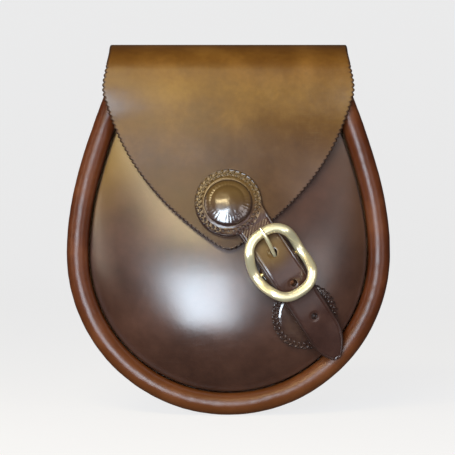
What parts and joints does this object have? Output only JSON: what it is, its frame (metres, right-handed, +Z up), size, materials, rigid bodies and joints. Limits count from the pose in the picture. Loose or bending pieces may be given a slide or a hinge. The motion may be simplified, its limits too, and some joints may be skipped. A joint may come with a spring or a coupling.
{
  "type": "drum stick bag",
  "caption": "Moulded leather pouch for drum sticks, with thick piping, an over-the-top flap closed by a strap and an oval brass buckle, and a belt loop behind.",
  "frame": {"origin": "middle of the belt slot behind the back, where the waist belt holds the bag", "axes": "+Z up, the bag's front faces -Y, +X to the right seen from the front"},
  "size_m": [0.2174, 0.0927, 0.25],
  "materials": {
    "front_leather": "polished vegetable-tanned hide, plum brown with paler rubbed patches",
    "body_leather": "dyed dark brown, satin",
    "flap_leather": "polished antique tan hide, darker towards the point",
    "piping_leather": "polished chestnut, gloss",
    "strap_leather": "tooled dark brown bridle leather, waxed",
    "raw_leather": "undyed flesh side",
    "core_felt": "wool cord core",
    "polished_brass": "polished solid brass",
    "copper": null
  },
  "bodies": {
    "bag": {"back_panel": "body_leather", "gusset": "body_leather", "front_panel": "front_leather", "piping_cover": "piping_leather", "piping_core": "core_felt", "chape": "strap_leather", "chape_rivet": "copper", "chape_burr": "copper", "belt_loop": "body_leather", "belt_loop_rivet_1": "copper", "belt_loop_rivet_2": "copper", "belt_loop_rivet_3": "copper", "belt_loop_rivet_4": "copper", "belt_loop_burr_1": "copper", "belt_loop_burr_2": "copper", "belt_loop_burr_3": "copper", "belt_loop_burr_4": "copper"},
    "flap": {"flap": "flap_leather", "billet": "strap_leather", "boss_cap": "strap_leather", "boss_former": "raw_leather", "boss_rivet": "copper", "boss_burr": "copper"},
    "buckle": {"buckle_frame": "polished_brass", "buckle_bar": "polished_brass"},
    "tongue": {"buckle_tongue": "polished_brass"}
  },
  "joints": [
    {"name": "flap_hinge", "type": "hinge", "parent": "bag", "child": "flap", "pos_m": [0, -0.016, 0.0597], "axis": [-1, 0, 0], "range_deg": [0, 150], "deforming": ["billet"]},
    {"name": "buckle_swing", "type": "hinge", "parent": "bag", "child": "buckle", "pos_m": [0.03282, -0.0725, -0.08926], "axis": [0.8188, 0.2271, 0.5273], "range_deg": [0, 6]},
    {"name": "tongue_swing", "type": "hinge", "parent": "buckle", "child": "tongue", "pos_m": [0.03282, -0.0725, -0.08926], "axis": [0.8188, 0.2271, 0.5273], "range_deg": [0, 90]}
  ],
  "couplings": [
    {"joint": "tongue_swing", "follows": "flap_hinge", "ratio": 0.6}
  ]
}
